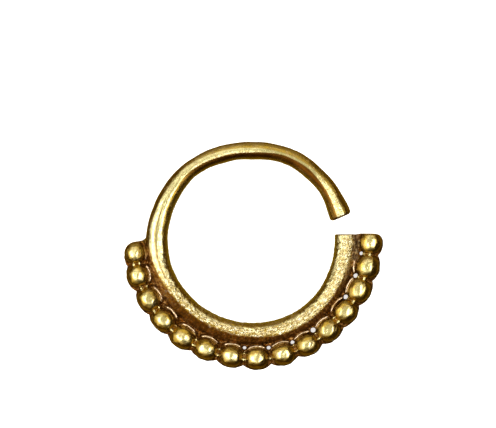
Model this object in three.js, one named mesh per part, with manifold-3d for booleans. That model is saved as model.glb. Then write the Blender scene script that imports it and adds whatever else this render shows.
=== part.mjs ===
// Beaded septum ring: a round wire hoop whose lower half swells into a thick band, with a row of balls
// along the outside of the band. Ball row, web, band and wire are one casting. It lies flat, +Z up.

import * as THREE from 'three';
import { mergeVertices } from 'three/addons/utils/BufferGeometryUtils.js';
import Module from 'manifold-3d';

const wasm = await Module();
wasm.setup();

// Driving dimensions, in millimetres and in degrees counter-clockwise from +X

const holeRadius = 5.0;         // inside of the hoop, where the nose goes
const wireDiameter = 1.0;       // plain upper wire, 18 gauge
const bandDiameter = 1.32;      // thick lower band
const tipDiameter = 1.3;        // flared free end of the wire
const tipAngle = 14.8;          // where the free end is cut
const tipLean = 6.5;            // the cut leans this far from square
const endRounding = 0.09;       // worn edge round the free end's cut face
const thickEndRise = 0.32;      // the band's flat cut stands this far above the hoop's centre

const beadDiameter = 1.36;
const beadGap = 0.16;           // metal between neighbouring balls
const beadSeat = 0.05;          // distance from the band to the balls
const firstBeadAngle = 187.3;
const lastBeadAngle = 359;

const padThickness = 0.52;      // scalloped pad round each ball
const outerRim = 0.03;          // pad past the ball on the outside
const innerRim = 0.08;          // pad past the ball towards the band
const notchDepth = 0.29;        // how deep the outline dips between balls on the outside
const cuspDepth = 0.31;         // the same towards the band
const lipThickness = 0.7;       // raised lip along each pad's edge towards the band, on both faces
const lipWidth = 0.1;
const lipProud = 0.02;          // how far the lip stands out past the pad's edge
const webThickness = 0.36;      // sunk web between band and pads
const piercingDiameter = 0.3;   // small holes through the web between balls
const piercingClearance = 0.09; // metal left between such a hole and the band

const sectionSides = 16;
const hoopStep = 5;             // degrees between the hoop's sections
const roundingSteps = 3;
const leanSteps = 3;            // sections over which the lean of the free end's cut dies away
const beadSides = 14;
const beadRings = 9;
const padSides = 22;
const lipSides = 3;             // sides of the pad that the lip takes up each way from its middle
const webStep = 4;              // degrees between the web's outline points
const piercingSides = 10;

// Sections of the hoop, from the free end round to the thick end. angle is the place round the hoop,
// hole the inside radius as a share of holeRadius, and share the thickness as a share of size.

const hoopSections = [
  { angle: tipAngle, hole: 0.984, size: tipDiameter, share: 1.0 },
  { angle: 20, hole: 0.981, size: tipDiameter, share: 1.0 },
  { angle: 26, hole: 0.993, size: tipDiameter, share: 0.9 },
  { angle: 33, hole: 1.006, size: wireDiameter, share: 1.05 },
  { angle: 47, hole: 0.999, size: wireDiameter, share: 1.03 },
  { angle: 59, hole: 1.005, size: wireDiameter, share: 1.0 },
  { angle: 70, hole: 1.003, size: wireDiameter, share: 0.96 },
  { angle: 80, hole: 0.984, size: wireDiameter, share: 1.01 },
  { angle: 89, hole: 0.977, size: wireDiameter, share: 1.04 },
  { angle: 99, hole: 0.986, size: wireDiameter, share: 0.98 },
  { angle: 110, hole: 0.989, size: wireDiameter, share: 1.03 },
  { angle: 122, hole: 1.008, size: wireDiameter, share: 0.98 },
  { angle: 134, hole: 1.023, size: wireDiameter, share: 0.99 },
  { angle: 146, hole: 1.009, size: wireDiameter, share: 1.1 },
  { angle: 158, hole: 1.002, size: bandDiameter, share: 0.9 },
  { angle: 170, hole: 1.004, size: bandDiameter, share: 0.945 },
  { angle: 182, hole: 1.006, size: bandDiameter, share: 0.99 },
  { angle: 196, hole: 1.003, size: bandDiameter, share: 1.0 },
  { angle: 222, hole: 0.997, size: bandDiameter, share: 1.0 },
  { angle: 246, hole: 0.988, size: bandDiameter, share: 1.0 },
  { angle: 276, hole: 0.995, size: bandDiameter, share: 1.0 },
  { angle: 306, hole: 1.01, size: bandDiameter, share: 1.0 },
  { angle: 324, hole: 1.01, size: bandDiameter, share: 1.0 },
  { angle: 342, hole: 1.001, size: bandDiameter, share: 1.0 },
  { angle: 366, hole: 1.008, size: bandDiameter, share: 1.0 },
];

// The balls, from the left of the hoop round to the thick end, as the hand that set them left them.
// shift is a share of the pitch, girth of beadDiameter, reach a share of beadDiameter outwards, and
// hole is the piercing after the ball as a share of piercingDiameter, 0 where the web is closed.

const beadRows = [
  { shift: 0.0, girth: 0.97, reach: -0.02, hole: 0 },
  { shift: -0.16, girth: 1.0, reach: 0.02, hole: 0 },
  { shift: -0.13, girth: 1.0, reach: -0.01, hole: 0 },
  { shift: -0.13, girth: 1.0, reach: -0.01, hole: 0 },
  { shift: -0.11, girth: 1.0, reach: 0.02, hole: 0 },
  { shift: -0.08, girth: 0.98, reach: -0.02, hole: 0 },
  { shift: -0.04, girth: 0.98, reach: -0.02, hole: 0.7 },
  { shift: -0.02, girth: 1.0, reach: 0.03, hole: 0.85 },
  { shift: 0.04, girth: 1.0, reach: 0.02, hole: 0.85 },
  { shift: 0.06, girth: 0.98, reach: 0.01, hole: 1.1 },
  { shift: 0.08, girth: 1.0, reach: 0.03, hole: 0 },
  { shift: 0.06, girth: 1.0, reach: 0.04, hole: 1.0 },
  { shift: 0.06, girth: 1.01, reach: 0.06, hole: 1.0 },
  { shift: 0.04, girth: 1.02, reach: 0.08, hole: 0.75 },
  { shift: 0.0, girth: 1.02, reach: 0.09, hole: 0 },
];

// What follows from them

const radians = THREE.MathUtils.degToRad;
const degrees = THREE.MathUtils.radToDeg;
const beadRadius = beadDiameter / 2;
const bandOuterRadius = holeRadius + bandDiameter;
const bandMiddleRadius = holeRadius + bandDiameter / 2;
const beadCircleRadius = bandOuterRadius + beadSeat + beadRadius;
const beadPitch = beadDiameter + beadGap;
const beadArc = radians(lastBeadAngle - firstBeadAngle) * beadCircleRadius;
const beadCount = Math.round(beadArc / beadPitch) + 1;
const pitchAngle = (lastBeadAngle - firstBeadAngle) / (beadCount - 1);

const polar = (radius, turn) => new THREE.Vector2(radius * Math.cos(turn), radius * Math.sin(turn));

// A geometry as a solid that can be joined and cut

function solidOf(geometry) {
  const bare = geometry.clone();
  bare.deleteAttribute('normal');
  bare.deleteAttribute('uv');
  const merged = mergeVertices(bare, 1e-5);
  return new wasm.Manifold(new wasm.Mesh({
    numProp: 3,
    vertProperties: new Float32Array(merged.attributes.position.array),
    triVerts: new Uint32Array(merged.index.array),
  }));
}

function geometryOf(solid) {
  const mesh = solid.getMesh();
  const geometry = new THREE.BufferGeometry();
  geometry.setAttribute('position', new THREE.BufferAttribute(mesh.vertProperties, 3));
  geometry.setIndex(new THREE.BufferAttribute(mesh.triVerts, 1));
  geometry.computeVertexNormals();
  return geometry;
}

// The hoop's inside radius and thickness at an angle, eased from one row of the table to the next

function hoopAt(angle) {
  const last = hoopSections.length - 1;
  const found = hoopSections.findIndex((row) => row.angle >= angle);
  const next = found < 0 ? last : Math.max(1, found);
  const from = hoopSections[next - 1];
  const to = hoopSections[next];
  const ease = THREE.MathUtils.smoothstep(angle, from.angle, to.angle);
  return {
    inside: holeRadius * THREE.MathUtils.lerp(from.hole, to.hole, ease),
    thickness: THREE.MathUtils.lerp(from.size * from.share, to.size * to.share, ease),
  };
}

// One round section of the hoop, thinner by trim all round. swing gives each point's place round the
// hoop, in radians, from its distance to the hoop's centre.

function hoopRing(angle, trim, swing) {
  const { inside, thickness } = hoopAt(angle);
  const radius = thickness / 2 - trim;
  const ring = [];
  for (let side = 0; side < sectionSides; side += 1) {
    const turn = radians((360 * side) / sectionSides);
    const reach = inside + thickness / 2 + radius * Math.cos(turn);
    const place = swing(reach);
    ring.push(new THREE.Vector3(reach * Math.cos(place), reach * Math.sin(place), radius * Math.sin(turn)));
  }
  return ring;
}

// A section square to the hoop or leaning, with its outer side further on

function leaningRing(angle, trim, lean) {
  const slope = Math.tan(radians(lean));
  return hoopRing(angle, trim, (reach) => radians(angle) + slope * (1 - bandMiddleRadius / reach));
}

// The last section lies in the flat cut of the thick end

function cutRing() {
  return hoopRing(360, 0, (reach) => Math.asin(thickEndRise / reach));
}

// The whole hoop as a closed skin over its sections, with the free end's edge rounded

function hoopGeometry() {
  const rings = [];
  for (let step = 0; step < roundingSteps; step += 1) {
    const turn = radians((90 * step) / roundingSteps);
    const back = degrees((endRounding * (1 - Math.cos(turn))) / bandMiddleRadius);
    rings.push(leaningRing(tipAngle + back, endRounding * (1 - Math.sin(turn)), tipLean));
  }
  const firstAngle = tipAngle + degrees(endRounding / bandMiddleRadius);
  const lastAngle = 360 + degrees(thickEndRise / bandOuterRadius);
  const steps = Math.round((lastAngle - firstAngle) / hoopStep);
  for (let step = 0; step < steps; step += 1) {
    const lean = tipLean * Math.max(0, 1 - step / leanSteps);
    rings.push(leaningRing(THREE.MathUtils.lerp(firstAngle, lastAngle, step / steps), 0, lean));
  }
  rings.push(cutRing());
  const triangles = [];
  const corner = (ring, side) => ring * sectionSides + (side % sectionSides);
  const last = rings.length - 1;
  for (let ring = 0; ring < last; ring += 1) {
    for (let side = 0; side < sectionSides; side += 1) {
      triangles.push(corner(ring, side), corner(ring + 1, side + 1), corner(ring, side + 1));
      triangles.push(corner(ring, side), corner(ring + 1, side), corner(ring + 1, side + 1));
    }
  }
  for (let side = 1; side < sectionSides - 1; side += 1) {
    triangles.push(corner(0, 0), corner(0, side), corner(0, side + 1));
    triangles.push(corner(last, 0), corner(last, side + 1), corner(last, side));
  }
  const geometry = new THREE.BufferGeometry().setFromPoints(rings.flat());
  geometry.setIndex(triangles);
  return geometry;
}

// Distance from the ball's centre to an arc of the pad's edge. The arc has its crown straight out from
// the ball and dips by depth at half the pitch.

function arcDistance(turn, crown, depth) {
  const half = beadPitch / 2;
  const radius = (half * half + depth * depth) / (2 * depth);
  const centre = crown - radius;
  const across = centre * Math.sin(turn);
  return centre * Math.cos(turn) + Math.sqrt(radius * radius - across * across);
}

// Distance to the pad's edge: an arc outwards, an arc towards the band, and a circle through their
// dips that closes the two sides. turn is 0 straight out from the hoop.

function padEdge(turn, radius) {
  const outerCrown = radius + outerRim;
  const innerCrown = radius + innerRim;
  const neck = outerCrown + innerCrown - notchDepth - cuspDepth;
  const side = Math.hypot(beadPitch / 2, neck / 2);
  const outer = arcDistance(turn, outerCrown, notchDepth);
  const inner = arcDistance(turn + Math.PI, innerCrown, cuspDepth);
  return Math.min(outer, inner, side);
}

function padPoint(side, radius, outset) {
  const turn = radians((360 * side) / padSides);
  return polar(padEdge(turn, radius) + outset, turn);
}

function padShape(radius) {
  return new THREE.Shape(Array.from({ length: padSides }, (unused, side) => padPoint(side, radius, 0)));
}

// The lip is a narrow strip along the pad's edge, on the side of the band

function lipShape(radius) {
  const edge = [];
  const inside = [];
  for (let side = padSides / 2 - lipSides; side <= padSides / 2 + lipSides; side += 1) {
    edge.push(padPoint(side, radius, lipProud));
    inside.push(padPoint(side, radius, lipProud - lipWidth));
  }
  return new THREE.Shape([...edge, ...inside.reverse()]);
}

function plateGeometry(shape, thickness) {
  const geometry = new THREE.ExtrudeGeometry(shape, { depth: thickness, bevelEnabled: false });
  return geometry.translate(0, 0, -thickness / 2);
}

// The thin web that ties the ball row to the band, from the first ball to beyond the flat cut

function webGeometry() {
  const start = radians(firstBeadAngle - pitchAngle / 4);
  const end = radians(lastBeadAngle + pitchAngle);
  const steps = Math.round((end - start) / radians(webStep));
  const outside = [];
  const inside = [];
  for (let step = 0; step <= steps; step += 1) {
    const turn = THREE.MathUtils.lerp(start, end, step / steps);
    outside.push(polar(beadCircleRadius, turn));
    inside.push(polar(bandMiddleRadius, turn));
  }
  return plateGeometry(new THREE.Shape([...outside, ...inside.reverse()]), webThickness);
}

function beadPlace(index) {
  const row = beadRows[index % beadRows.length];
  return {
    row,
    turn: radians(firstBeadAngle + (index + row.shift) * pitchAngle),
    radius: beadRadius * row.girth,
    circle: beadCircleRadius + beadDiameter * row.reach,
  };
}

// One ball on its pad, with the lip

function addBead(metal, index) {
  const { turn, radius, circle } = beadPlace(index);
  const pieces = [
    plateGeometry(padShape(radius), padThickness),
    plateGeometry(lipShape(radius), lipThickness),
    new THREE.SphereGeometry(radius, beadSides, beadRings).rotateX(Math.PI / 2),
  ];
  const place = (piece) => solidOf(piece.translate(circle, 0, 0).rotateZ(turn));
  return pieces.reduce((sum, piece) => sum.add(place(piece)), metal);
}

// The flat cut across the last ball and its pad at the thick end

function cutThickEnd(metal) {
  const size = 2 * (bandDiameter + beadDiameter);
  const cutter = new THREE.BoxGeometry(size, size, size);
  return metal.subtract(solidOf(cutter.translate(holeRadius + size / 2, thickEndRise + size / 2, 0)));
}

// The little hole in the web between a ball and the next

function pierce(metal, index) {
  const here = beadPlace(index);
  const turn = (here.turn + beadPlace(index + 1).turn) / 2;
  const diameter = piercingDiameter * here.row.hole;
  const circle = bandOuterRadius + piercingClearance + diameter / 2;
  const drill = new THREE.CylinderGeometry(diameter / 2, diameter / 2, beadDiameter, piercingSides);
  drill.rotateX(Math.PI / 2).translate(circle, 0, 0).rotateZ(turn);
  return metal.subtract(solidOf(drill));
}

// The whole ring as one casting

function noseRingGeometry() {
  let row = solidOf(webGeometry());
  for (let index = 0; index < beadCount; index += 1) row = addBead(row, index);
  let ring = cutThickEnd(row).add(solidOf(hoopGeometry()));
  for (let index = 0; index < beadCount - 1; index += 1) {
    if (beadPlace(index).row.hole > 0) ring = pierce(ring, index);
  }
  return geometryOf(ring);
}

// The ring lies on its balls, with its origin under the middle of its outline

const geometry = noseRingGeometry();
geometry.computeBoundingBox();
const { min, max } = geometry.boundingBox;
geometry.translate(-(min.x + max.x) / 2, -(min.y + max.y) / 2, -min.z);

const brass = new THREE.MeshStandardMaterial({ color: 0xc9a24a, roughness: 0.3, metalness: 1.0 });
const noseRing = new THREE.Mesh(geometry, brass);
noseRing.name = 'nose_ring';

const part = new THREE.Group();
part.add(noseRing);

export default part;
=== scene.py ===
import math

import bpy
import numpy as np
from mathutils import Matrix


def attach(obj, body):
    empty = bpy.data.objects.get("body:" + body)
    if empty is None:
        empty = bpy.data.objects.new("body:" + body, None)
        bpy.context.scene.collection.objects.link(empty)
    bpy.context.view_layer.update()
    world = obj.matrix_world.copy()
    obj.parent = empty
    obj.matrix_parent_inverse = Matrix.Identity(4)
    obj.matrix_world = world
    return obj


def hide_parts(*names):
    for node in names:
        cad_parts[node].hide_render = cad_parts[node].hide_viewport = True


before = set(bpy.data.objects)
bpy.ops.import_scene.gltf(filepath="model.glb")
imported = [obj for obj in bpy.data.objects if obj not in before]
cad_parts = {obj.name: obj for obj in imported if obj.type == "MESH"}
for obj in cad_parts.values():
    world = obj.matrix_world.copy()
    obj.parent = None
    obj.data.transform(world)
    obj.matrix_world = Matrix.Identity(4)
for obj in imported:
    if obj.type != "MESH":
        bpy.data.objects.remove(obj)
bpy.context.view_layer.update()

# Beaded septum ring in cast brass. Lengths in the dictionaries are millimetres, angles are degrees
# counter-clockwise from +X round the hoop's centre, and metres are used only where a mesh is made.

millimetre = 0.001


# Numpy helpers

def smoothStep(low, high, value):
    share = np.clip((value - low) / (high - low), 0.0, 1.0)
    return share * share * (3.0 - 2.0 * share)


def softMax(first, second, blend):
    # the larger of the two, with a fillet where they differ by less than blend
    share = np.clip(0.5 + 0.5 * (first - second) / blend, 0.0, 1.0)
    return first * share + second * (1.0 - share) + blend * share * (1.0 - share)


def roundedEdge(distance, radius):
    # height of a quarter circle, 0 at the edge and 1 from radius inwards
    share = np.clip(distance / radius, 0.0, 1.0)
    return np.sqrt(1.0 - (1.0 - share) ** 2)


def waves(points, wavelength, count, seed):
    # sum of plane waves of about one length in random directions, so that it has no grain and no seam
    dice = np.random.default_rng(seed)
    ways = dice.normal(size=(count, 3))
    ways /= np.linalg.norm(ways, axis=1)[:, None]
    lengths = wavelength * dice.uniform(0.7, 1.5, count)
    phases = dice.uniform(0.0, 2.0 * math.pi, count)
    total = np.zeros(points.shape[:-1])
    for way, length, phase in zip(ways, lengths, phases):
        total += np.sin(2.0 * math.pi * (points @ way) / length + phase)
    return total / math.sqrt(count / 2.0)


def polar(reach, angle):
    # x and y of the place at that reach from the hoop's centre
    return reach * np.cos(np.radians(angle)), reach * np.sin(np.radians(angle))


# The ring

ring = {
    "centre": (-0.118, 0.934, 0.6936),   # middle of the hoop
    "holeRadius": 5.0,
    "middleReach": 5.7,       # about the middle of the band, from the hoop's centre
    "thickEndRise": 0.34,     # flat cut of the thick end above the hoop's centre
    "ballRise": 0.05,         # the last ball stands this much above the cut
    "tipLean": 6.5,           # lean of the free end's cut
    "tipFade": 1.2,           # how far from the free end the lean dies away
    "cutFade": 1.4,           # the same for the plane of the flat cut
    "ballStart": (6.25, 6.7), # reach over which the cut rises to the last ball
    "tipRounding": 0.2,
    "cutRounding": 0.09,
    "cornerRounding": 0.32,   # outer corner of the last ball at the flat cut
    "leastHeight": 0.004,     # keeps the two faces apart at the leaning cut
    "pathRadii": (5.6, 0.55), # of the hoop and of its section, for the way along and round the ring
    "sectionsAlong": 540,
    "pointsAcross": 90,
    "crowding": 0.4,          # how far the points across are drawn in to the lips, beside the band
}

# angle, inside radius as a share of the hole's, thickness
hoopSections = np.array([
    (14.2, 0.982, 1.31), (20, 0.978, 1.315), (26, 0.989, 1.19), (33, 1.001, 1.075), (47, 0.996, 1.05),
    (59, 0.997, 1.04), (70, 0.996, 0.995), (80, 0.974, 1.06), (89, 0.963, 1.10), (99, 0.973, 1.045),
    (110, 0.977, 1.08), (122, 1.000, 1.00), (134, 1.018, 1.02), (146, 0.999, 1.15), (158, 0.994, 1.21),
    (170, 0.998, 1.265), (182, 0.995, 1.33), (196, 0.999, 1.34), (222, 0.991, 1.345), (246, 0.988, 1.32),
    (276, 0.995, 1.32), (306, 1.013, 1.305), (324, 1.0136, 1.302), (342, 1.005, 1.30), (366, 1.008, 1.32),
])
# step and width in degrees, reach in steps
easing = {"step": 0.25, "reach": 40, "width": 2.5}
fineAngles = np.arange(0.0, 380.0, easing["step"])


def eased(column):
    # the column on fine steps, as a running mean weighted with a bell curve
    steps = np.arange(-easing["reach"], easing["reach"] + 1)
    bell = np.exp(-(steps * easing["step"] / easing["width"]) ** 2)
    fine = np.pad(np.interp(fineAngles, hoopSections[:, 0], column), easing["reach"], "edge")
    return np.convolve(fine, bell / bell.sum(), "valid")


fineInside, fineThickness = [eased(column) for column in hoopSections[:, 1:].T]

# the row of balls: a name for each column, then a row for each ball
balls = {
    "angle": np.array([186.4, 197.4, 210.2, 222.5, 235.0, 247.6, 260.4, 272.9, 285.9, 298.4, 310.9, 322.9,
                       335.2, 347.2, 359.0]),
    "circle": np.array([6.98, 7.09, 7.05, 7.1, 7.09, 7.03, 7.03, 7.06, 7.08, 7.1, 7.08, 7.09, 7.11,
                        7.14, 7.14]),
    "radius": np.array([0.68, 0.7, 0.71, 0.69, 0.71, 0.69, 0.69, 0.7, 0.7, 0.7, 0.73, 0.73, 0.75,
                        0.74, 0.74]),
    "height": 0.692,          # none of them is higher than this
    # stretch along the row, and how far the long way is turned
    "stretch": np.array([1.02, 1.08, 1.13, 1.15, 1.15, 1.13, 1.1, 1.06, 1.08, 1.1, 1.08, 1.06, 1.05,
                         1.05, 1.02]),
    "turn": np.array([0, 8, 12, 10, 8, 6, 0, 0, -6, -10, -8, -6, 0, 0, 0]),
    # diameter of the hole pierced after the ball, 0 where the web is closed
    "hole": np.array([0, 0, 0, 0, 0, 0, 0.21, 0.24, 0.24, 0.31, 0, 0.29, 0.28, 0.22, 0]),
    # how far the hollow after the ball lies out from its usual place
    "shift": np.array([0, 0, 0, 0, 0, 0, -0.04, 0.02, 0.06, -0.03, 0, 0.05, 0.08, 0.1, 0]),
    # farthest reach of the outline at the ball, how far it is turned, and where the pad begins inwards
    "crown": np.array([7.71, 7.82, 7.81, 7.81, 7.835, 7.775, 7.77, 7.825, 7.825, 7.845, 7.877, 7.881,
                       7.936, 7.943, 7.949]),
    "crownTurn": np.array([1.4, 0.6, 0, 0, 0, 0, 0, 0, 0, 0.2, 0, -0.5, 0.4, 0, 0]),
    "padStart": np.array([6.26, 6.32, 6.28, 6.28, 6.32, 6.274, 6.274, 6.33, 6.32, 6.314, 6.33, 6.255,
                          6.35, 6.3, 6.38]),
    "pitch": 1.52,
    "dome": 2.2,              # power of the dome: 2 is a sphere, more is flatter on top
    "plan": 2.12,             # power of the outline from above: 2 is an ellipse, more is squarer
    "crest": (1.04, 0.72),    # length and width of the rubbed crest, where each ball's highlight is painted as well
}
neckAngles = (balls["angle"][:-1] + balls["angle"][1:]) / 2.0     # midway between each two balls

pad = {
    "notchDepth": 0.26, "cuspDepth": 0.31,     # dips between balls, outwards and towards the band
    "crest": 0.2,             # half height of the neck between balls
    "ridgeHeight": 0.08, "ridgeWidth": 0.1,    # the ridge across each neck
    "knobs": (7.17, 6.8), "knobRadius": (0.1, 0.07), "knobTop": (0.42, 0.36),    # grains on each ridge
    "arcSpan": 9.0,           # a ball's arcs count this many degrees to each side
    "plainEdges": (6.4, 7.4), # inner and outer edge where no ball is near
    "edgeRounding": 0.05,
    "rowStart": 0.25,         # the row takes over from the hoop within this, beyond the band's middle
    "lipTop": 0.44, "lipRadius": 0.065, "lipInset": 0.03, "lipFoot": 0.05,
    "lipGap": 0.9,            # share of the lip that is missing over a hollow
    "webHeight": 0.17,
    "pitDepth": 0.1, "pitRadius": 0.16,
    "fillet": 0.06,
    # the outline climbs from the wire to the first ball, a share of it slowly
    "slowStart": (178.8, 180.6), "start": (180.35, 180.8), "slowShare": 0.34,
    "startCircle": (187.05, 6.91, 0.765),     # angle, reach and radius of the first ball's free side
    "lipEnd": (354.0, 350.0), # the lips fade out before the last ball
    "crevice": (1.04, 0.09),  # a line of painted shade round each ball's foot: share of its radius, width
    "pitReach": 0.24,         # from the band's outer edge to the middle of the hollow between two balls
}


def hoopAt(angle):
    # inside radius and thickness
    inside = np.interp(angle, fineAngles, fineInside) * ring["holeRadius"]
    return inside, np.interp(angle, fineAngles, fineThickness)


def rowClimb(angle):
    slow = pad["slowShare"]
    return slow * smoothStep(*pad["slowStart"], angle) + (1.0 - slow) * smoothStep(*pad["start"], angle)


def arcReach(apart, crown, depth, outwards):
    # where a ray from the hoop's centre meets the arc of a pad: the arc has its crown at that reach and
    # dips by depth at half the pitch
    half = balls["pitch"] / 2.0
    radius = (half * half + depth * depth) / (2.0 * depth)
    sign = 1.0 if outwards else -1.0
    middle = crown - sign * radius
    across = np.clip(middle * np.sin(np.radians(apart)), -0.95 * radius, 0.95 * radius)
    return middle * np.cos(np.radians(apart)) + sign * np.sqrt(radius * radius - across * across)


def padOutline(angle):
    # inner and outer edge of the scalloped pads at an angle: the nearest and the farthest of all arcs
    inner, outer = np.full(angle.shape, np.inf), np.zeros(angle.shape)
    for ballAngle, crown, turn, padStart in zip(balls["angle"], balls["crown"], balls["crownTurn"],
                                                balls["padStart"]):
        near = np.abs(angle - ballAngle) < pad["arcSpan"]
        out = arcReach(angle - ballAngle - turn, crown, pad["notchDepth"], True)
        inn = arcReach(angle - ballAngle, padStart, pad["cuspDepth"], False)
        outer = np.where(near, np.maximum(outer, out), outer)
        inner = np.where(near, np.minimum(inner, inn), inner)
    # the free side of the first ball is round, the far side of a circle:
    # middle * cos(a) + root(radius ** 2 - (middle * sin(a)) ** 2)
    free, middle, radius = pad["startCircle"]
    side = np.clip(radius ** 2 - (middle * np.sin(np.radians(angle - free))) ** 2, 0.0, None)
    freeSide = middle * np.cos(np.radians(angle - free)) + np.sqrt(side)
    outer = np.where(angle < free, np.minimum(outer, freeSide), outer)
    plainInner, plainOuter = pad["plainEdges"]
    return np.where(np.isinf(inner), plainInner, inner), np.where(outer <= 0.0, plainOuter, outer)


def ballShares(x, y):
    # for each ball the distance from its middle over its radius, as a list of (share, radius): the
    # distance is a superellipse's, the root of the sum of powers, in a plane stretched along the row;
    # the second list measures an ellipse that is narrower across the row, where the balls are rubbed and
    # their highlight is painted
    shares, crests = [], []
    for angle, circle, radius, stretch, turn in zip(
            balls["angle"], balls["circle"], balls["radius"], balls["stretch"], balls["turn"]):
        middleX, middleY = polar(circle, angle)
        longWay = math.radians(angle + 90.0 + turn)
        dx, dy = x - middleX, y - middleY
        along = dx * math.cos(longWay) + dy * math.sin(longWay)
        across = -dx * math.sin(longWay) + dy * math.cos(longWay)
        total = (np.abs(along) / stretch) ** balls["plan"] + np.abs(across) ** balls["plan"]
        shares.append((total ** (1.0 / balls["plan"]) / radius, radius))
        crests.append(np.hypot(along / stretch / balls["crest"][0], across / balls["crest"][1]) / radius)
    return shares, crests


def ballHeight(x, y):
    # dome of the nearest ball: radius times the square root of 1 minus a power of the share
    height = np.zeros(x.shape)
    for share, radius in ballShares(x, y)[0]:
        top = min(radius, balls["height"])
        height = np.maximum(height, top * np.sqrt(np.clip(1.0 - share ** balls["dome"], 0.0, None)))
    return height


def neckRidges(angle, reach):
    # 1 on the ridge across each neck, falling off as a bell curve to both sides
    ridges = np.zeros(reach.shape)
    for middle in neckAngles:
        aside = np.radians(angle - middle) * reach
        ridges = np.maximum(ridges, np.exp(-(aside / (pad["ridgeWidth"] / 2.0)) ** 2))
    return ridges


def knobHeight(x, y):
    # two small round grains on the ridge of each neck
    height = np.zeros(x.shape)
    for middle in neckAngles:
        for reach, radius, top in zip(pad["knobs"], pad["knobRadius"], pad["knobTop"]):
            knobX, knobY = polar(reach, middle)
            square = radius ** 2 - (x - knobX) ** 2 - (y - knobY) ** 2
            height = np.maximum(height, np.where(square > 0.0, top - radius + np.sqrt(np.abs(square)), 0.0))
    return height


def pitPlaces():
    # angle and reach of the small hollow between each two balls, beside the band
    inside, thickness = hoopAt(neckAngles)
    return neckAngles, inside + thickness + pad["pitReach"] + balls["shift"][:-1]


def halfHeight(x, y, reach, angle, outerEdge):
    # half the ring's thickness at a place: the round hoop, the pads' elliptical necks, the lips, the web
    # and the balls' domes, each joined to the rest by a small fillet
    inside, thickness = hoopAt(angle)
    middle, radius = inside + thickness / 2.0, thickness / 2.0
    hoop = np.sqrt(np.clip(radius ** 2 - (reach - middle) ** 2, 0.0, None))
    inner, outer = padOutline(angle)
    inRow = rowClimb(angle)
    beyondBand = smoothStep(0.0, pad["rowStart"], reach - middle) * inRow
    neckMiddle, neckHalf = (inner + outer) / 2.0, (outer - inner) / 2.0
    arch = np.sqrt(np.clip(1.0 - ((reach - neckMiddle) / neckHalf) ** 2, 0.0, None))
    neck = (pad["crest"] + pad["ridgeHeight"] * neckRidges(angle, reach)) * arch
    # the lip is a half-round bead on a steep foot
    across = np.abs(reach - inner - pad["lipInset"])
    bead = np.sqrt(np.clip(pad["lipRadius"] ** 2 - across ** 2, 0.0, None))
    foot = np.exp(-(np.clip(across - pad["lipRadius"], 0.0, None) / pad["lipFoot"]) ** 2)
    lip = (pad["lipTop"] - pad["lipRadius"]) * foot + bead
    pits = np.zeros(x.shape)
    for pitAngle, pitReach in zip(*pitPlaces()):
        pitX, pitY = polar(pitReach, pitAngle)
        pits = np.maximum(pits, np.exp(-((x - pitX) ** 2 + (y - pitY) ** 2) / pad["pitRadius"] ** 2))
    web = pad["webHeight"] * (1.0 - pits * pad["pitDepth"] / pad["webHeight"])
    lip = lip * (1.0 - pad["lipGap"] * pits) * smoothStep(*pad["lipEnd"], angle)
    row = softMax(neck, np.maximum(lip, web * (reach < neckMiddle)), pad["fillet"])
    row = softMax(row, ballHeight(x, y), pad["fillet"])
    row = np.maximum(row, knobHeight(x, y))
    row = row * roundedEdge(outerEdge - reach, pad["edgeRounding"]) * beyondBand
    joined = softMax(hoop, row, pad["fillet"])
    return np.where(inRow * beyondBand > 0.0, joined, hoop)


# how close the sections stand: on the wire, how much closer from the row on, and then how much closer at a
# place and over how many degrees to each side
spacing = {
    "wire": 0.6, "row": 1.6, "rowStart": (172, 180),
    "neck": (3.0, 1.3),
    "climb": (14.0, 0.7), "climbAngle": 180.8,         # where the outline climbs to the first ball
    "firstBall": (2.0, 1.5), "firstBallAngle": 182.5,
    "tip": (6.0, 1.0),
    "cut": (4.0, 1.2),
    "steps": 4001,
}


def sectionAngles():
    cutAngle = 360.0 + math.degrees(math.asin(ring["thickEndRise"] / ring["middleReach"]))
    fine = np.linspace(hoopSections[0, 0], cutAngle, spacing["steps"])
    density = spacing["wire"] + spacing["row"] * smoothStep(*spacing["rowStart"], fine)
    places = [(middle, spacing["neck"]) for middle in neckAngles]
    places += [(spacing["climbAngle"], spacing["climb"]), (spacing["firstBallAngle"], spacing["firstBall"])]
    places += [(fine[0], spacing["tip"]), (fine[-1], spacing["cut"])]
    for middle, (closer, width) in places:
        density += closer * np.exp(-((fine - middle) / width) ** 2)
    share = np.concatenate([[0.0], np.cumsum((density[1:] + density[:-1]) / 2.0)])
    return np.interp(np.linspace(0.0, share[-1], ring["sectionsAlong"]), share, fine)


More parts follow.
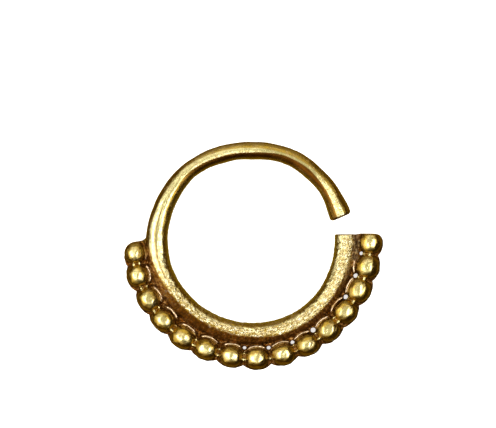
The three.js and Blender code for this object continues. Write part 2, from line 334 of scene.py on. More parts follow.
def ringGrid():
    # one face of the ring on a grid of section by place across: place across runs from the inner to the
    # outer edge as middle + half * sin(v), which crowds the points where the surface turns down, and in
    # the row of balls part of sin(v) gives way to its cube, which crowds them at the lips as well
    angle = sectionAngles()[:, None]
    v = np.linspace(-math.pi / 2.0, math.pi / 2.0, ring["pointsAcross"])[None, :]
    inside, thickness = hoopAt(angle)
    climb = rowClimb(angle)
    outerEdge = inside + thickness
    outerEdge = outerEdge + (padOutline(angle)[1] - outerEdge) * climb
    fromTip = np.radians(angle - angle[0]) * ring["middleReach"]
    fromCut = np.radians(angle[-1] - angle) * ring["middleReach"]
    outerEdge = outerEdge - ring["cornerRounding"] * (1.0 - roundedEdge(fromCut, ring["cornerRounding"]))
    middle, half = (inside + outerEdge) / 2.0, (outerEdge - inside) / 2.0
    crowding = ring["crowding"] * climb
    reach = middle + half * (np.sin(v) * (1.0 - crowding) + np.sin(v) ** 3 * crowding)
    # the free end's cut leans, and the thick end's lies in one plane
    tipFade = 1.0 - smoothStep(0.0, ring["tipFade"], fromTip)
    cutFade = 1.0 - smoothStep(0.0, ring["cutFade"], fromCut)
    lean = np.degrees(math.tan(math.radians(ring["tipLean"])) * (1.0 - ring["middleReach"] / reach))
    rise = ring["thickEndRise"] + ring["ballRise"] * smoothStep(*ring["ballStart"], reach)
    plane = np.degrees(np.arcsin(rise / reach)) + 360.0 - angle[-1]
    place = angle + lean * tipFade + plane * cutFade
    height = halfHeight(*polar(reach, place), reach, place, outerEdge)
    # both ends have a rounded edge: the whole section shrinks by the depth of the rounding
    shrink = ring["tipRounding"] * (1.0 - roundedEdge(fromTip, ring["tipRounding"]))
    shrink = shrink + ring["cutRounding"] * (1.0 - roundedEdge(fromCut, ring["cutRounding"]))
    reach = middle + (reach - middle) * (1.0 - shrink / half)
    height = height * (1.0 - shrink / height.max(axis=1, keepdims=True))
    height = np.maximum(height, ring["leastHeight"])
    height[:, 0] = 0.0
    height[:, -1] = 0.0
    return np.stack([*polar(reach, place), height], axis=-1)


def closedTube(face):
    # the face and its mirror image as one closed tube of sections, with a flat cap at each end
    mirrored = face[:, -2:0:-1] * np.array([1.0, 1.0, -1.0])
    tube = np.concatenate([face, mirrored], axis=1)
    sections, around = tube.shape[:2]
    number = np.arange(sections * around).reshape(sections, around)
    ahead = np.roll(number, -1, axis=1)
    quads = np.stack([number[:-1], ahead[:-1], ahead[1:], number[1:]], axis=-1).reshape(-1, 4)
    # each cap is a strip of quads between the two faces, with a triangle at its inner and its outer end
    top = np.arange(1, face.shape[1] - 1)
    below = around - top
    strip = np.stack([top[:-1], below[:-1], below[1:], top[1:]], axis=-1)
    corners = np.array([[0, below[0], top[0]], [top[-1], below[-1], face.shape[1] - 1]])
    last = (sections - 1) * around
    caps = [strip, corners, strip[:, ::-1] + last, corners[:, ::-1] + last]
    return tube, [quads, *caps]


# height of each kind of lump in mm, then wavelength in mm, number of waves and seed
relief = {
    "slow": 0.008, "slowWaves": (1.3, 24, 3),
    "quick": 0.004, "quickWaves": (0.6, 24, 4),
    "fine": 0.002, "fineInRow": 0.005, "fineWaves": (0.4, 40, 6),
    "hammer": 0.006, "hammerWaves": (0.26, 40, 5),
    "nugget": 0.055, "nuggetWaves": (0.36, 40, 8),
    "lip": 0.008, "lipOnLeft": 0.014, "lipWaves": (0.24, 40, 9), "lipWidth": 0.12,
    # where each kind begins or ends, as the 0 and the 1 end of a smooth step: reach in mm, angle in degrees
    "bandReach": (6.45, 6.2), "bandAngle": (165, 200),
    "rowReach": (6.3, 6.5), "rowAngle": (178, 186),
    "nuggetStart": (6.05, 6.3), "nuggetEnd": (6.6, 6.4), "nuggetAngle": (348.0, 353.0),
    "lipAngle": (180.0, 190.0), "leftAngle": (230.0, 205.0),
    "calmSections": 8,        # the lumps die away over this many sections at each end
}


def roughen(tube):
    # slow lumps of handwork along the surface normal, and finer marks on the band, the lips and the nuggets
    along = np.gradient(tube, axis=0)
    around = np.roll(tube, -1, axis=1) - np.roll(tube, 1, axis=1)
    normal = np.cross(around, along)
    normal /= np.maximum(np.linalg.norm(normal, axis=-1, keepdims=True), 1e-9)
    reach = np.hypot(tube[..., 0], tube[..., 1])
    angle = np.degrees(np.arctan2(tube[..., 1], tube[..., 0])) % 360.0
    onBand = smoothStep(*relief["bandReach"], reach) * smoothStep(*relief["bandAngle"], angle)
    onRow = smoothStep(*relief["rowAngle"], angle) * smoothStep(*relief["rowReach"], reach)
    nuggets = smoothStep(*relief["nuggetStart"], reach) * smoothStep(*relief["nuggetEnd"], reach)
    nuggets = nuggets * smoothStep(*relief["nuggetAngle"], angle)
    fromLip = reach - padOutline(angle)[0] - pad["lipInset"]
    onLip = np.exp(-(fromLip / relief["lipWidth"]) ** 2) * smoothStep(*relief["lipAngle"], angle)
    fine = relief["fine"] + relief["fineInRow"] * onRow
    lipHeight = relief["lip"] + relief["lipOnLeft"] * smoothStep(*relief["leftAngle"], angle)
    lumps = relief["slow"] * waves(tube, *relief["slowWaves"])
    lumps = lumps + relief["quick"] * waves(tube, *relief["quickWaves"])
    lumps = lumps + fine * waves(tube, *relief["fineWaves"])
    lumps = lumps + relief["hammer"] * onBand * waves(tube, *relief["hammerWaves"])
    lumps = lumps + relief["nugget"] * nuggets * waves(tube, *relief["nuggetWaves"])
    lumps = lumps + lipHeight * onLip * waves(tube, *relief["lipWaves"])
    calm = roundedEdge(np.arange(len(tube)), relief["calmSections"])[:, None]
    return tube + normal * (lumps * calm * calm[::-1])[..., None]


def meshFrom(name, points, faceSets):
    mesh = bpy.data.meshes.new(name)
    points = (points.reshape(-1, 3) + np.array(ring["centre"])) * millimetre
    corners = np.concatenate([each.ravel() for each in faceSets])
    lengths = np.concatenate([np.full(len(each), each.shape[1]) for each in faceSets])
    mesh.vertices.add(len(points))
    mesh.vertices.foreach_set("co", points.ravel())
    mesh.loops.add(len(corners))
    mesh.loops.foreach_set("vertex_index", corners)
    mesh.polygons.add(len(lengths))
    mesh.polygons.foreach_set("loop_start", np.cumsum(lengths) - lengths)
    mesh.update(calc_edges=True)
    mesh.validate()
    piece = bpy.data.objects.new(name, mesh)
    bpy.context.scene.collection.objects.link(piece)
    return piece


def pierce(tube, face, quads):
    # the holes between balls: the quads whose middle lies in a hole are taken out of both faces, the
    # points round the gap are drawn on to its circle, and a wall joins the two faces
    sections, around = tube.shape[:2]
    across = face.shape[1]
    number = np.arange(sections * around).reshape(sections, around)
    grid = quads.reshape(sections - 1, around, 4)
    kept = np.ones((sections - 1, around), dtype=bool)
    walls = []
    plan = tube[:, :across, :2]
    middles = (plan[:-1, :-1] + plan[1:, :-1] + plan[1:, 1:] + plan[:-1, 1:]) / 4.0
    for angle, reach, hole in zip(*pitPlaces(), balls["hole"]):
        if hole == 0:
            continue
        centre = np.array(polar(reach, angle))
        inHole = np.hypot(*(middles - centre).transpose(2, 0, 1)) < hole / 2.0
        kept[:, :across - 1] &= ~inHole
        kept[:, across - 1:] &= ~inHole[:, ::-1]
        padded = np.pad(inHole, 1)
        rim = set()
        for i, j in zip(*np.nonzero(inHole)):
            corners = [(i, j), (i + 1, j), (i + 1, j + 1), (i, j + 1)]
            neighbours = [padded[i + 1, j], padded[i + 2, j + 1], padded[i + 1, j + 2], padded[i, j + 1]]
            for side, taken in enumerate(neighbours):
                if not taken:
                    first, second = corners[side], corners[(side + 1) % 4]
                    rim.update((first, second))
                    walls.append([number[second], number[first], number[first[0], -first[1] % around],
                                  number[second[0], -second[1] % around]])
        for i, j in rim:
            away = tube[i, j, :2] - centre
            onCircle = centre + away * (hole / 2.0 / np.hypot(*away))
            tube[i, j, :2] = onCircle
            tube[i, -j % around, :2] = onCircle
    return grid[kept], np.array(walls)


# the rubbed strip of the wire and band, bright with wear and with a painted highlight, with painted shade
# on the flanks beside it: angle, its inner and outer border across the section (-1 inner to 1 outer edge),
# how far the outer border fades, the share of the rubbed metal beyond it, and how dark the inner flank is
# darkened by tarnish and painted shade
rubbedAndLitStrip = np.array([
    (15, -0.3, 0.26, 0.2, 0.0, 0.8), (25, -0.26, 0.22, 0.2, 0.0, 0.9), (38, -0.2, 0.15, 0.2, 0.0, 1.0),
    (50, 0.0, 0.14, 0.2, 0.0, 1.0), (70, -0.04, 0.04, 0.2, 0.06, 1.0), (90, -0.2, 0.17, 0.15, 0.08, 1.0),
    (110, -0.18, 0.24, 0.2, 0.08, 1.0), (130, -0.14, 0.42, 0.2, 0.08, 0.9),
    (150, -0.24, 0.46, 0.2, 0.05, 0.3), (165, -0.34, 0.5, 0.2, 0.0, 0.0), (178, -0.48, 0.7, 0.2, 0.0, 0.0),
    (190, -0.52, 0.4, 0.2, 0.0, 0.0), (210, -0.54, -0.08, 0.3, 0.1, 0.0),
    (230, -0.54, -0.34, 0.45, 0.0, 0.0), (250, -0.54, -0.34, 0.5, 0.0, 0.0),
    (270, -0.54, -0.1, 0.35, 0.0, 0.0), (290, -0.56, 0.12, 0.3, 0.0, 0.0),
    (310, -0.6, 0.06, 0.3, 0.0, 0.0), (330, -0.72, 0.1, 0.25, 0.1, 0.0), (345, -0.76, 0.2, 0.35, 0.22, 0.0),
    (360, -0.76, 0.34, 0.3, 0.25, 0.0),
])

# a line of painted shade that splits the painted highlight of the left wire into two stripes: angle,
# place across the section
highlightGapLine = np.array([(156, 0.05), (167, 0.05), (175, 0.15), (190, 0.0), (200, -0.1), (212, -0.15)])

# where the looks change on the wire and band. Most pairs are the 0 and the 1 end of a smooth step: an angle
# in degrees, a place across the section from -1 to 1, or shares of the outer border's fade
hoopLooks = {
    "filmAndShadeFade": 0.12, "filmAndShadeEdge": (-0.94, -0.8),       # the film and painted shade on the inner flank
    "innerTarnishAndShade": (-0.84, -0.58),
    "harder": 0.5, "harderAngle": (285.0, 330.0),      # how much harder the thick end is rubbed
    # a line of painted shade that splits the left wire's painted highlight
    "gapWidth": 0.08, "gapStart": (156.0, 164.0), "gapEnd": (212.0, 200.0),
    "gapDimming": 0.7, "gapDarkening": 0.35,
    # painted shade with some tarnish on the band's outer flank, beside the balls
    "outerTarnishAndShade": 0.75, "outerFade": (0.6, 1.3), "outerEdge": (1.02, 0.85),
    "outerStart": (208.0, 225.0), "outerEnd": (344.0, 328.0),
    "oxideFade": (0.5, 1.2), "oxideAngle": (179.0, 190.0),
    "workAngle": (178.0, 225.0), "workSide": (-0.7, -0.3),
    "easedEnd": 0.25, "easedAngle": (290.0, 335.0),    # the thick end and the outer side have fewer marks
    "easedOuter": 0.5, "easedSide": (0.35, 0.7),
    # nicks along the inner border of the rubbed strip at the top of the wire
    "nicks": 0.6, "nickSide": -0.14, "nickWidth": 0.12,
    "nickStart": (80.0, 92.0), "nickEnd": (135.0, 124.0),
    "tipMarks": 0.35, "tipAngle": (46.0, 32.0), "tipSide": (0.4, 0.1),
}

# the same in the row of balls: reach, height and width in mm, shares of a ball's or the lip's radius
rowLooks = {
    "angle": (179.0, 183.0), "side": (0.75, 1.0),
    "crest": (0.74, 0.24),
    "pit": (0.1, 0.24),
    "lipShare": (1.3, 0.7), "lipHeight": (0.2, 0.36), "lipAngle": (184.0, 194.0), "lipWear": 0.6,
    "ridge": (-0.03, 0.0),
    "lipFoot": 0.045, "creviceDepth": 0.9,
    "oxide": (1.02, 0.8),
    # rough nuggets between the band and the last ball
    "nuggetStart": (6.0, 6.2), "nuggetEnd": (6.6, 6.4), "nuggetAngle": (346.0, 352.0),
    "nuggetWear": 0.8, "nuggetOxide": 0.45, "nuggetLip": 0.35,
}


def hoopMasks(angle, side):
    # wear with its painted highlight, oxide, and tarnish with painted shade, of the wire and band
    innerBorder, outerBorder, fade, beyond, tarnishAndShade = [
        np.interp(angle, rubbedAndLitStrip[:, 0], column) for column in rubbedAndLitStrip[:, 1:].T]
    # film and painted shade on the inner flank
    filmAndShade = smoothStep(innerBorder, innerBorder - hoopLooks["filmAndShadeFade"], side)
    filmAndShade = filmAndShade * smoothStep(*hoopLooks["filmAndShadeEdge"], side)
    # the rubbed strip, bright with wear and with a painted highlight
    wearAndSheen = 1.0 - (1.0 - beyond) * smoothStep(outerBorder, outerBorder + fade, side)
    # towards the thick end the band is rubbed harder, so that fewer strokes stay dark
    wearAndSheen = wearAndSheen * (1.0 + hoopLooks["harder"] * smoothStep(*hoopLooks["harderAngle"], angle)) * (1.0 - filmAndShade)
    # the line of painted shade splitting the painted highlight
    highlightGap = np.exp(-((side - np.interp(angle, *highlightGapLine.T)) / hoopLooks["gapWidth"]) ** 2)
    highlightGap = highlightGap * smoothStep(*hoopLooks["gapStart"], angle) * smoothStep(*hoopLooks["gapEnd"], angle)
    # painted shade with some tarnish on the band's outer flank
    first, last = hoopLooks["outerFade"]
    outer = smoothStep(outerBorder + fade * first, outerBorder + fade * last, side)
    outer = outer * smoothStep(*hoopLooks["outerEdge"], side) * hoopLooks["outerTarnishAndShade"]
    outer = outer * smoothStep(*hoopLooks["outerStart"], angle) * smoothStep(*hoopLooks["outerEnd"], angle)
    tarnishAndShade = tarnishAndShade * filmAndShade * smoothStep(*hoopLooks["innerTarnishAndShade"], side)
    first, last = hoopLooks["oxideFade"]
    oxide = smoothStep(outerBorder + fade * first, outerBorder + fade * last, side)
    oxide = oxide * smoothStep(*hoopLooks["oxideAngle"], angle) * (1.0 - beyond * 2.0)
    return {"wearAndSheen": wearAndSheen - hoopLooks["gapDimming"] * highlightGap, "oxide": oxide,
            "tarnishAndShade": np.maximum(tarnishAndShade, outer) + hoopLooks["gapDarkening"] * highlightGap}


def rowMasks(x, y, height, reach, angle):
    # the same in the row of balls, with the rubbed crests, where a highlight is painted as well, and the
    # lips
    shares, crests = ballShares(x, y)
    nearest = np.min([share for share, radius in shares], axis=0)
    pitAngle, pitReach = pitPlaces()
    apart = [np.hypot(x - pitX, y - pitY) for pitX, pitY in zip(*polar(pitReach, pitAngle))]
    fromLip = np.abs(reach - padOutline(angle)[0] - pad["lipInset"])
    lip = smoothStep(*(pad["lipRadius"] * share for share in rowLooks["lipShare"]), fromLip)
    lip = lip * smoothStep(*rowLooks["lipHeight"], height) * smoothStep(*rowLooks["lipAngle"], angle)
    lip = lip * smoothStep(*pad["lipEnd"], angle) * smoothStep(*rowLooks["pit"], np.min(apart, axis=0))
    onRidge = smoothStep(*rowLooks["ridge"], knobHeight(x, y) - height)
    # the rubbed crest of each ball, where a highlight is painted as well
    crest = np.maximum(smoothStep(*rowLooks["crest"], np.min(crests, axis=0)), onRidge)
    bare = np.maximum(lip, onRidge)
    # painted shade with some tarnish darkens the crevices along the balls' feet and both feet of the lips
    foot, width = pad["crevice"]
    lipFoot = np.abs(fromLip - 2.0 * pad["lipRadius"]) / rowLooks["lipFoot"]
    crevice = np.maximum(np.exp(-((nearest - foot) / width) ** 2), np.exp(-lipFoot ** 2))
    return {"wearAndSheen": np.maximum(crest, rowLooks["lipWear"] * lip),
            "oxide": 1.0 - np.maximum(smoothStep(*rowLooks["oxide"], nearest), bare),
            "tarnishAndShade": rowLooks["creviceDepth"] * crevice * (1.0 - bare), "crest": crest, "lip": lip}


def workMarks(angle, side, beyondBand):
    # the hammered band, the nicks at the top of the wire and the marks at its free end
    work = smoothStep(*hoopLooks["workAngle"], angle) * (1.0 - beyondBand)
    work = work * smoothStep(*hoopLooks["workSide"], side)
    work = work * (1.0 - hoopLooks["easedEnd"] * smoothStep(*hoopLooks["easedAngle"], angle))
    work = work * (1.0 - hoopLooks["easedOuter"] * smoothStep(*hoopLooks["easedSide"], side))
    nicks = np.exp(-((side - hoopLooks["nickSide"]) / hoopLooks["nickWidth"]) ** 2)
    nicks = nicks * smoothStep(*hoopLooks["nickStart"], angle) * smoothStep(*hoopLooks["nickEnd"], angle)
    atTip = smoothStep(*hoopLooks["tipAngle"], angle) * smoothStep(*hoopLooks["tipSide"], np.abs(side))
    return np.max([work, hoopLooks["nicks"] * nicks, hoopLooks["tipMarks"] * atTip], axis=0)


def surfaceMasks(piece):
    # wear is high where the piece is rubbed bright and a highlight is painted, and low where the film and
    # painted shade lie, oxide where brown is left in the recesses, work where the metal is hammered or
    # nicked, tarnish is painted shade with some tarnish on the inner flank, the band's outer flank and in
    # the crevices, crest on the tops of the balls, where a highlight is painted as well, lip on the thin
    # raised lines, and path runs along and round the ring
    mesh = piece.data
    points = np.empty(len(mesh.vertices) * 3)
    mesh.vertices.foreach_get("co", points)
    points = points.reshape(-1, 3) / millimetre - np.array(ring["centre"])
    x, y, height = points[:, 0], points[:, 1], np.abs(points[:, 2])
    reach = np.hypot(x, y)
    angle = np.degrees(np.arctan2(y, x)) % 360.0
    # the thick end runs on past 360 degrees, and the free end lies beyond 10
    angle = np.where(angle < 10.0, angle + 360.0, angle)
    inside, thickness = hoopAt(angle)
    side = (reach - inside - thickness / 2.0) / (thickness / 2.0)
    beyondBand = smoothStep(*rowLooks["side"], side) * smoothStep(*rowLooks["angle"], angle)
    hoop, row = hoopMasks(angle, side), rowMasks(x, y, height, reach, angle)
    wearAndSheen, oxide, tarnishAndShade = [hoop[name] * (1.0 - beyondBand) + row[name] * beyondBand
                            for name in ("wearAndSheen", "oxide", "tarnishAndShade")]
    nuggets = smoothStep(*rowLooks["nuggetStart"], reach) * smoothStep(*rowLooks["nuggetEnd"], reach)
    nuggets = nuggets * smoothStep(*rowLooks["nuggetAngle"], angle)
    values = {
        "wearAndSheen": np.maximum(wearAndSheen, rowLooks["nuggetWear"] * nuggets),
        "oxide": oxide + (rowLooks["nuggetOxide"] - oxide) * nuggets,
        "work": np.maximum(workMarks(angle, side, beyondBand), rowLooks["nuggetWear"] * nuggets),
        "tarnishAndShade": tarnishAndShade,
        "crest": row["crest"] * beyondBand,
        "lip": np.maximum(row["lip"] * beyondBand, rowLooks["nuggetLip"] * nuggets),
    }
    for name, value in values.items():
        layer = mesh.attributes.new(name, "FLOAT", "POINT")
        layer.data.foreach_set("value", value.astype(np.float32))
    section = np.arctan2(points[:, 2], reach - inside - thickness / 2.0)
    along, around = ring["pathRadii"]
    path = np.stack([np.radians(angle) * along, section * around, np.zeros_like(reach)], axis=-1)
    layer = mesh.attributes.new("path", "FLOAT_VECTOR", "POINT")
    layer.data.foreach_set("vector", (path * millimetre).astype(np.float32).ravel())


def makeRing():
    face = ringGrid()
    tube, (quads, *caps) = closedTube(face)
    tube = roughen(tube)
    quads, walls = pierce(tube, face, quads)
    piece = meshFrom("beaded_ring", tube, [quads, *caps, walls])
    surfaceMasks(piece)
    sharp = np.zeros(len(piece.data.polygons), dtype=bool)
    sharp[-len(walls):] = True
    piece.data.polygons.foreach_set("use_smooth", ~sharp)
    triangles = sum(len(polygon.vertices) - 2 for polygon in piece.data.polygons)
    print("ring:", len(piece.data.vertices), "points,", triangles, "triangles")
    return piece


# Materials

def srgb(code):
    channels = [int(code[i:i + 2], 16) / 255.0 for i in (1, 3, 5)]
    return [c / 12.92 if c <= 0.04045 else ((c + 0.055) / 1.055) ** 2.4 for c in channels] + [1.0]


def addNode(tree, kind, links=(), **settings):
    # a node with its settings by name, and links as (socket, node, socket)
    node = tree.nodes.new(kind)
    for name, value in settings.items():
        if hasattr(node, name):
            setattr(node, name, value)
        else:
            node.inputs[name.replace("_", " ")].default_value = value
    for socket, source, output in links:
        tree.links.new(source.outputs[output], node.inputs[socket])
    return node


def emptyMaterial(name):
    material = bpy.data.materials.new(name)
    material.use_nodes = True
    material.node_tree.nodes.clear()
    return material, material.node_tree


brass = {
    "polishedHighlight": "#BEB382",    # pale yellow brass on the crests of the balls, polished and with a painted highlight
    "worn": "#B6AD80",        # the wire, worn but not polished
    "hammered": "#CAB984",    # the band, less worn
    "paintedGlint": "#F6EED0",       # painted glints: small bright specks on the band
    "filmAndShade": "#927628",        # thin brown film on the flanks, with painted shade where they turn from the light
    "tarnishAndShade": "#482A08",     # painted shade with some tarnish on the wire's inner flank, the band's outer flank and in the crevices
    "oxide": "#643506",       # red-brown oxide in the recesses
    "lip": "#BAA288",         # rosy metal of the thin raised lines
    "nugget": "#AE8450",      # bare metal on the nuggets in the recesses
    "rubbed": 0.1, "satin": 0.2, "filmed": 0.24, "dull": 0.42,       # roughness of each
    "grain": 0.11,            # hammered sand grain of the band, mm
    "stroke": 0.12,           # width of the short bright and dark strokes on the band, mm
    "scratch": 0.1,           # width of the polishing lines, mm
    "streak": 0.3,            # width of the streaks of wear along the wire, mm
    "cloud": 0.5,             # patches of wear, mm
    "crackle": 0.18,          # nuggets in the recesses, mm
    "speck": 0.12,            # small bare specks on the nuggets, mm
    "hatch": 0.12,            # file marks across the band, mm
}


def noise(tree, vector, size, detail=3.0, rough=0.6):
    # noise whose patches are about size mm across; vector is a (node, output) pair
    return addNode(tree, "ShaderNodeTexNoise", [("Vector", *vector)],
                   Scale=1.0 / (size * millimetre), Detail=detail, Roughness=rough)


def shifted(tree, mask, source, amount, where=None):
    # the mask, moved up and down by the noise times amount (and times an attribute), kept between 0 and 1
    spread = addNode(tree, "ShaderNodeMath", [(0, source, 0)], operation="MULTIPLY_ADD")
    spread.inputs[1].default_value = amount
    spread.inputs[2].default_value = -amount / 2.0
    if where:
        spread = addNode(tree, "ShaderNodeMath", [(0, spread, 0), (1, where, "Fac")], operation="MULTIPLY")
    output = "Fac" if mask.bl_idname == "ShaderNodeAttribute" else 0
    return addNode(tree, "ShaderNodeMath", [(0, mask, output), (1, spread, 0)],
                   operation="ADD", use_clamp=True)


def mixed(tree, share, first, second, colours=True):
    # a mix of two inputs, each a node pair to link or a plain value
    output = "Fac" if share.bl_idname == "ShaderNodeAttribute" else 0
    mix = addNode(tree, "ShaderNodeMix", [("Factor", share, output)],
                  data_type="RGBA" if colours else "FLOAT")
    for socket, given in zip((6, 7) if colours else (2, 3), (first, second)):
        if isinstance(given, tuple):
            tree.links.new(given[0].outputs[given[1]], mix.inputs[socket])
        else:
            mix.inputs[socket].default_value = given
    return mix, 2 if colours else 0


def makeBrass():
    # Cast and hand-polished yellow brass: bright where it is rubbed and where highlights are painted on the
    # wire, the band and the balls' crests, a thin brown film with painted shade on the flanks, painted shade
    # with dark tarnish in the crevices and on the inner flank, red-brown oxide with bare specks in the
    # recesses, a sand grain with short strokes and painted glints on the band, and polishing lines along the
    # wire
    material, tree = emptyMaterial("antique_brass")
    place = addNode(tree, "ShaderNodeTexCoord")
    wearAndSheen, oxide, work, tarnishAndShade, crest, lip, path = [
        addNode(tree, "ShaderNodeAttribute", attribute_name=name)
        for name in ("wearAndSheen", "oxide", "work", "tarnishAndShade", "crest", "lip", "path")]
    cloud = noise(tree, (place, "Object"), brass["cloud"], 5.0, 0.65)
    grain = noise(tree, (place, "Object"), brass["grain"])
    crackle = noise(tree, (place, "Object"), brass["crackle"], 4.0, 0.7)
    stretch = addNode(tree, "ShaderNodeVectorMath", [(0, path, "Vector")], operation="MULTIPLY")
    stretch.inputs[1].default_value = (0.06, 1.0, 1.0)
    lines = noise(tree, (stretch, 0), brass["scratch"], 3.0, 0.65)
    turned = addNode(tree, "ShaderNodeVectorMath", [(0, path, "Vector")], operation="MULTIPLY")
    turned.inputs[1].default_value = (1.0, 0.15, 1.0)
    hatch = noise(tree, (turned, 0), brass["hatch"], 2.0, 0.5)
    streak = noise(tree, (stretch, 0), brass["streak"], 2.0, 0.5)
    drawn = addNode(tree, "ShaderNodeVectorMath", [(0, path, "Vector")], operation="MULTIPLY")
    drawn.inputs[1].default_value = (0.45, 1.0, 1.0)
    strokes = noise(tree, (drawn, 0), brass["stroke"])
    cloudMask = shifted(tree, wearAndSheen, cloud, 0.8)
    streakMask = shifted(tree, cloudMask, streak, 0.5)
    hatchMask = shifted(tree, streakMask, hatch, 3.0, work)
    # bright rubbed metal with painted highlights, against the film with painted shade
    wearAndSheenMask = shifted(tree, hatchMask, strokes, 5.0, work)
    # painted shade with some tarnish, broken up by the file marks
    darkMask = shifted(tree, tarnishAndShade, hatch, 3.0, oxide)
    oxideMask = shifted(tree, oxide, crackle, 1.9)
    # the balls' crests take the pale colour of their painted highlight
    worn = mixed(tree, crest, srgb(brass["worn"]), srgb(brass["polishedHighlight"]))
    clean = mixed(tree, work, worn, srgb(brass["hammered"]))
    # painted glints: small bright specks on the hammered band
    glintSpots = addNode(tree, "ShaderNodeMapRange", [("Value", strokes, 0)], From_Min=0.5, From_Max=0.64)
    glintSpots = addNode(tree, "ShaderNodeMath", [(0, glintSpots, 0), (1, work, "Fac")], operation="MULTIPLY")
    glinting = mixed(tree, glintSpots, clean, srgb(brass["paintedGlint"]))
    bright = mixed(tree, wearAndSheenMask, srgb(brass["filmAndShade"]), glinting)
    speck = noise(tree, (place, "Object"), brass["speck"], 2.0, 0.5)
    bare = addNode(tree, "ShaderNodeMapRange", [("Value", speck, 0)], From_Min=0.46, From_Max=0.66)
    unworked = addNode(tree, "ShaderNodeMath", [(1, work, "Fac")], operation="SUBTRACT", use_clamp=True)
    unworked.inputs[0].default_value = 1.0
    bare = addNode(tree, "ShaderNodeMath", [(0, bare, 0), (1, unworked, 0)], operation="MULTIPLY")
    recess = mixed(tree, bare, srgb(brass["oxide"]), srgb(brass["nugget"]))
    lipMask = shifted(tree, lip, crackle, 1.2)
    lined = mixed(tree, lipMask, bright, srgb(brass["lip"]))
    patina = mixed(tree, oxideMask, lined, recess)
    colour = mixed(tree, darkMask, patina, srgb(brass["tarnishAndShade"]))
    satin = addNode(tree, "ShaderNodeMapRange", [("Value", work, "Fac")],
                    To_Min=brass["rubbed"], To_Max=brass["satin"])
    metalRough = mixed(tree, wearAndSheenMask, brass["filmed"], (satin, 0), False)
    roughness = mixed(tree, oxideMask, metalRough, brass["dull"], False)
    depth = addNode(tree, "ShaderNodeMapRange", [("Value", work, "Fac")], To_Min=0.12, To_Max=1.0)
    lineBump = addNode(tree, "ShaderNodeBump", [("Height", lines, 0)],
                       Strength=0.5, Distance=0.04 * millimetre)
    hatchBump = addNode(tree, "ShaderNodeBump", [("Height", hatch, 0), ("Strength", work, "Fac"),
                                                 ("Normal", lineBump, 0)], Distance=0.06 * millimetre)
    grainBump = addNode(tree, "ShaderNodeBump", [("Height", grain, 0), ("Strength", depth, 0),
                                                 ("Normal", hatchBump, 0)], Distance=0.12 * millimetre)
    bump = addNode(tree, "ShaderNodeBump", [("Height", crackle, 0), ("Strength", oxideMask, 0),
                                            ("Normal", grainBump, 0)], Distance=0.1 * millimetre)
    shader = addNode(tree, "ShaderNodeBsdfPrincipled",
                     [("Base Color", *colour), ("Roughness", *roughness), ("Normal", bump, 0)], Metallic=1.0)
    addNode(tree, "ShaderNodeOutputMaterial", [("Surface", shader, 0)])
    return material


# Stage: a plain pale floor, a soft tent of light and the camera

stage = {
    "imageWidth": 496, "imageHeight": 428,
    "pixelsPerMillimetre": 16.65,
    "originPixel": (252.8, 255.5),      # where the part's origin falls in the picture
    "lens": 100.0, "sensor": 36.0,
    "clip": (0.001, 10.0),              # nearest and farthest that the camera sees, in metres
    "floorSize": 4000.0,
    "floorDrop": 0.03,                  # the floor lies clear of the lowest lumps
    "floorColour": "#F4F3F2",
    "floorGlow": 0.85,                  # the floor is a softly lit pane, so the pierced holes show bright
}


def makeFloor():
    material, tree = emptyMaterial("pale_floor")
    shader = addNode(tree, "ShaderNodeBsdfPrincipled", Roughness=0.6, Emission_Strength=stage["floorGlow"])
    shader.inputs["Base Color"].default_value = srgb(stage["floorColour"])
    shader.inputs["Emission Color"].default_value = srgb(stage["floorColour"])
    addNode(tree, "ShaderNodeOutputMaterial", [("Surface", shader, 0)])
    half = stage["floorSize"] / 2.0 * millimetre
    low = -stage["floorDrop"] * millimetre
    mesh = bpy.data.meshes.new("floor")
    mesh.from_pydata([(-half, -half, low), (half, -half, low), (half, half, low), (-half, half, low)], [],
                     [(0, 1, 2, 3)])
    floor = bpy.data.objects.new("floor", mesh)
    mesh.materials.append(material)
    floor.visible_glossy = False
    bpy.context.scene.collection.objects.link(floor)


def makeCamera():
    scale = stage["pixelsPerMillimetre"]
    wide = stage["imageWidth"] / scale
    distance = stage["lens"] * wide / stage["sensor"]
    x = (stage["imageWidth"] / 2.0 - stage["originPixel"][0]) / scale
    y = (stage["originPixel"][1] - stage["imageHeight"] / 2.0) / scale
    data = bpy.data.cameras.new("camera")
    data.lens, data.sensor_width, data.sensor_fit = stage["lens"], stage["sensor"], "HORIZONTAL"
    data.clip_start, data.clip_end = stage["clip"]
    camera = bpy.data.objects.new("camera", data)
    camera.location = (x * millimetre, y * millimetre, (ring["centre"][2] + distance) * millimetre)
    bpy.context.scene.collection.objects.link(camera)
    bpy.context.scene.camera = camera


# azimuth counter-clockwise from +X, tilt from straight up, size and distance in mm, brightness of the panel
panels = {
    "left": {"azimuth": 198, "tilt": 47, "wide": 190, "high": 210, "distance": 160, "brightness": 1.75},
    "right": {"azimuth": -15, "tilt": 34, "wide": 90, "high": 190, "distance": 160, "brightness": 1.8},
    "front": {"azimuth": -90, "tilt": 22, "wide": 70, "high": 50, "distance": 160, "brightness": 0.35},
    "back": {"azimuth": 90, "tilt": 50, "wide": 60, "high": 220, "distance": 160, "brightness": 1.8},
    "backLow": {"azimuth": 90, "tilt": 88, "wide": 90, "high": 220, "distance": 160, "brightness": 0.7},
    "leftCore": {"azimuth": 188, "tilt": 34, "wide": 36, "high": 110, "distance": 150, "brightness": 5.9},
    "rightCore": {"azimuth": -12, "tilt": 29, "wide": 40, "high": 90, "distance": 150, "brightness": 6.4},
    "backCore": {"azimuth": 118, "tilt": 26, "wide": 26, "high": 90, "distance": 150, "brightness": 2.2},
}


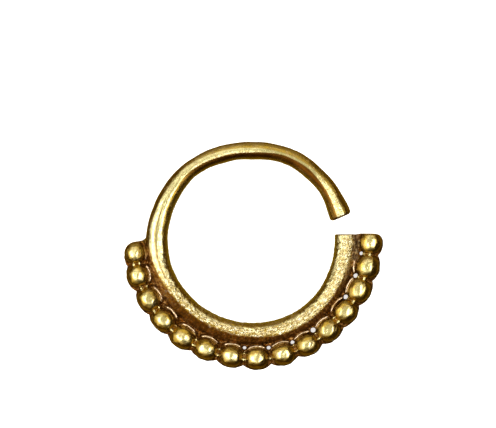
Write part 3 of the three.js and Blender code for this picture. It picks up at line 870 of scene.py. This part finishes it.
def makeLights():
    for name, panel in panels.items():
        data = bpy.data.lights.new(name, "AREA")
        data.shape = "RECTANGLE"
        data.size, data.size_y = panel["wide"] * millimetre, panel["high"] * millimetre
        data.energy = panel["brightness"] * math.pi * data.size * data.size_y
        lamp = bpy.data.objects.new(name, data)
        azimuth, tilt = math.radians(panel["azimuth"]), math.radians(panel["tilt"])
        reach = panel["distance"] * millimetre
        aside = reach * math.sin(tilt)
        lamp.location = (aside * math.cos(azimuth), aside * math.sin(azimuth), reach * math.cos(tilt))
        lamp.rotation_euler = (0.0, tilt, azimuth)
        bpy.context.scene.collection.objects.link(lamp)


# colour of the tent by how far a direction points along its axis, -1 down to 1 up; towards the shade's
# axis it is darker, from the first share of the way to the second
tent = {
    "shadeAxis": (0.78, -0.56, 0.28), "shadeFrom": 0.45, "shadeTo": 0.9, "shadeLeft": 0.25,
    "axis": (-0.18, 0.0, 0.984),
    "strength": 1.5,
    "colours": [(-1.0, "#8C7422"), (-0.35, "#82681A"), (-0.1, "#62470E"), (0.1, "#442B08"),
                (0.32, "#5E430C"), (0.42, "#85723A"), (0.6, "#B0A684"), (1.0, "#E0DCBE")],
}


def makeWorld():
    # bright overhead, dark warm brown round the horizon, and the pale brown of a table below it
    world = bpy.data.worlds.new("tent")
    world.use_nodes = True
    tree = world.node_tree
    tree.nodes.clear()
    place = addNode(tree, "ShaderNodeTexCoord")
    along = addNode(tree, "ShaderNodeVectorMath", [(0, place, "Generated")], operation="DOT_PRODUCT")
    along.inputs[1].default_value = tent["axis"]
    share = addNode(tree, "ShaderNodeMapRange", [("Value", along, "Value")], From_Min=-1.0)
    ramp = addNode(tree, "ShaderNodeValToRGB", [("Fac", share, 0)])
    stops = [((height + 1.0) / 2.0, srgb(code)) for height, code in tent["colours"]]
    ends = ramp.color_ramp.elements
    ends[0].position, ends[0].color = stops[0]
    ends[1].position, ends[1].color = stops[-1]
    for position, colour in stops[1:-1]:
        ends.new(position).color = colour
    aside = addNode(tree, "ShaderNodeVectorMath", [(0, place, "Generated")], operation="DOT_PRODUCT")
    aside.inputs[1].default_value = tent["shadeAxis"]
    light = addNode(tree, "ShaderNodeMapRange", [("Value", aside, "Value")],
                    From_Min=tent["shadeFrom"], From_Max=tent["shadeTo"],
                    To_Min=tent["strength"], To_Max=tent["strength"] * tent["shadeLeft"])
    back = addNode(tree, "ShaderNodeBackground", [("Color", ramp, 0), ("Strength", light, 0)])
    addNode(tree, "ShaderNodeOutputWorld", [("Surface", back, 0)])
    bpy.context.scene.world = world
    bpy.context.scene.view_settings.view_transform = "Standard"


makeFloor()
makeCamera()
makeLights()
makeWorld()
print("stage: floor, camera, lights and world")

noseRing = makeRing()
noseRing.data.materials.clear()
noseRing.data.materials.append(makeBrass())
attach(noseRing, "root")
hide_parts("nose_ring")
print("ring placed on the frame")
